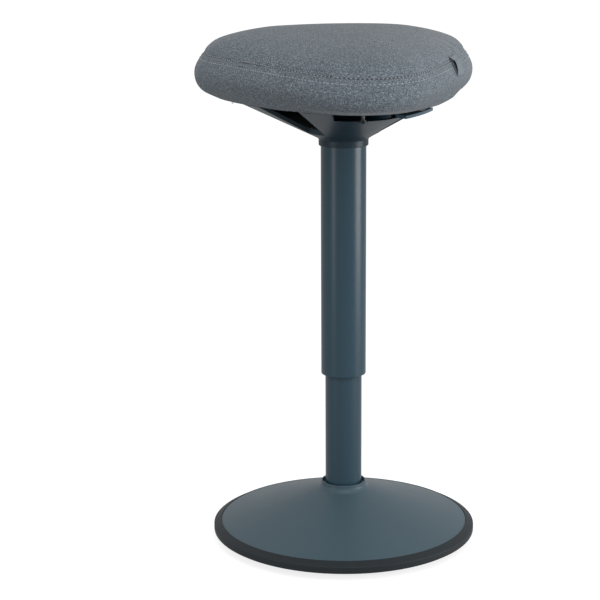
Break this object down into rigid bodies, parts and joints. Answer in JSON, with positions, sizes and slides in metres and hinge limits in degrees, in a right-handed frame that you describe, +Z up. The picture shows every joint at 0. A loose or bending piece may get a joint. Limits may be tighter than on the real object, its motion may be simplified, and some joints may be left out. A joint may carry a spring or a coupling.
{
  "type": "wobble stool",
  "caption": "Round-based active stool that rocks on a domed sole, with a swivelling gas-lift column and a padded three-lobed fabric seat.",
  "frame": {"origin": "on the floor under the column's axis, at the middle of the sole's small flat, with the stool upright", "axes": "+Z up along the column, the seat's nose points along -Y"},
  "size_m": [0.3832, 0.388, 0.7075],
  "materials": {
    "sole_rubber": "matte",
    "ring_rubber": "satin",
    "painted_steel": "satin",
    "dark_moulding": "satin",
    "lever_moulding": "satin",
    "black_plastic": "matte",
    "plain_steel": "satin",
    "bright_steel": "polished",
    "black_steel": "satin",
    "ballast_iron": "matte",
    "plated_steel": "satin",
    "plywood": "matte",
    "seat_foam": "matte",
    "melange_fabric": "matte",
    "tag_tape": "matte"
  },
  "bodies": {
    "base": {"domed_sole": "sole_rubber", "sole_screws": "plated_steel", "edge_ring": "ring_rubber", "base_shell": "painted_steel", "base_plate": "plain_steel", "ballast_disc": "ballast_iron", "ballast_bolts": "plated_steel", "hub_socket": "plain_steel", "hub_gussets": "plain_steel", "collar_bush": "black_plastic", "outer_tube": "painted_steel", "guide_bush": "black_plastic", "bearing_lower_washer": "plain_steel"},
    "ball_cage": {"ball_cage": "black_plastic", "bearing_balls": "bright_steel"},
    "rod": {"bearing_upper_washer": "plain_steel", "piston_rod": "bright_steel", "rod_clip": "plain_steel", "rubber_buffer": "sole_rubber", "piston": "plain_steel", "piston_seal": "sole_rubber"},
    "seat": {"pressure_cylinder": "black_steel", "cylinder_gland": "plain_steel", "valve_plug": "black_plastic", "cover_tube": "painted_steel", "cover_glide_ring": "black_plastic", "tube_collar": "dark_moulding", "seat_carrier": "dark_moulding", "carrier_screws": "plated_steel", "taper_socket": "black_steel", "mount_plate": "black_steel", "plate_screws": "plated_steel", "tee_nuts": "plated_steel", "lever_bracket": "black_steel", "lever_pivot_pin": "bright_steel", "seat_board": "plywood", "seat_foam": "seat_foam", "cover_top_panel": "melange_fabric", "cover_side_panel": "melange_fabric", "cover_staples": "plated_steel", "side_tag": "tag_tape"},
    "lever": {"lever_arm": "black_steel", "lever_paddle": "lever_moulding"},
    "pin": {"release_pin": "bright_steel"}
  },
  "joints": [
    {"name": "seat_swivel", "type": "hinge", "parent": "base", "child": "rod", "pos_m": [0, 0, 0.03], "axis": [0, 0, 1], "continuous": true},
    {"name": "cage_roll", "type": "hinge", "parent": "base", "child": "ball_cage", "pos_m": [0, 0, 0.03], "axis": [0, 0, 1], "continuous": true},
    {"name": "height_slide", "type": "slide", "parent": "rod", "child": "seat", "axis": [0, 0, 1], "range_m": [-0.14, 0.06]},
    {"name": "lever_lift", "type": "hinge", "parent": "seat", "child": "lever", "pos_m": [0.04157, -0.024, 0.6], "axis": [-0.5, -0.866, 0], "range_deg": [0, 4.6], "stiffness_Nm_per_rad": 3},
    {"name": "pin_press", "type": "slide", "parent": "seat", "child": "pin", "axis": [0, 0, -1], "range_m": [0, 0.0039]}
  ],
  "couplings": [
    {"joint": "cage_roll", "follows": "seat_swivel", "ratio": 0.5},
    {"joint": "pin_press", "follows": "lever_lift", "m_per_rad": 0.048}
  ]
}
